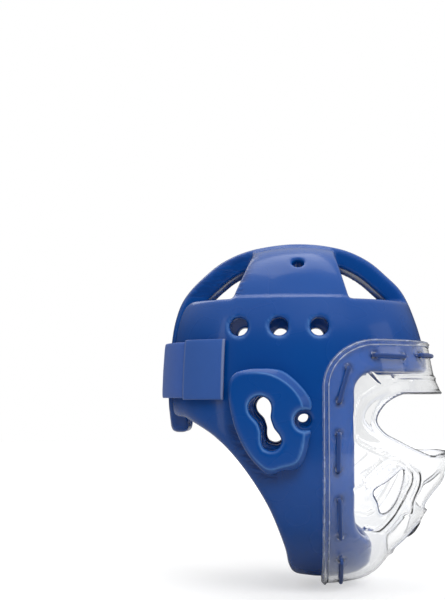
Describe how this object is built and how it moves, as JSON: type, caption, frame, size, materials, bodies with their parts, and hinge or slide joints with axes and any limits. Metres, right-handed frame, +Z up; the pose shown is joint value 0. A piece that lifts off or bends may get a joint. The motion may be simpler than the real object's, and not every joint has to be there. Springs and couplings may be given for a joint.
{
  "type": "taekwondo headgear",
  "caption": "Foam martial arts headgear with raised ear guards, open crown, clear face shield laced on, and a wide elastic strap at the back.",
  "frame": {"origin": "the inside of the crown, where the top of the head touches the foam", "axes": "+X is where the face looks, +Y is the wearer's left, +Z is up"},
  "size_m": [0.2561, 0.247, 0.3085],
  "materials": {
    "dipped_foam": "glossy blue vinyl dip over soft foam",
    "clear_shield": "clear polycarbonate",
    "cord": "braided blue cord",
    "elastic": "woven blue elastic",
    "patch": "smooth blue tape",
    "tag": "white satin tag, blank"
  },
  "bodies": {
    "root": {"foam_shell": "dipped_foam", "ear_guard_right": "dipped_foam", "ear_guard_left": "dipped_foam", "face_shield": "clear_shield", "lacing": "cord", "rear_strap": "elastic", "strap_patch_right": "patch", "strap_patch_left": "patch", "care_label": "tag"}
  },
  "joints": []
}
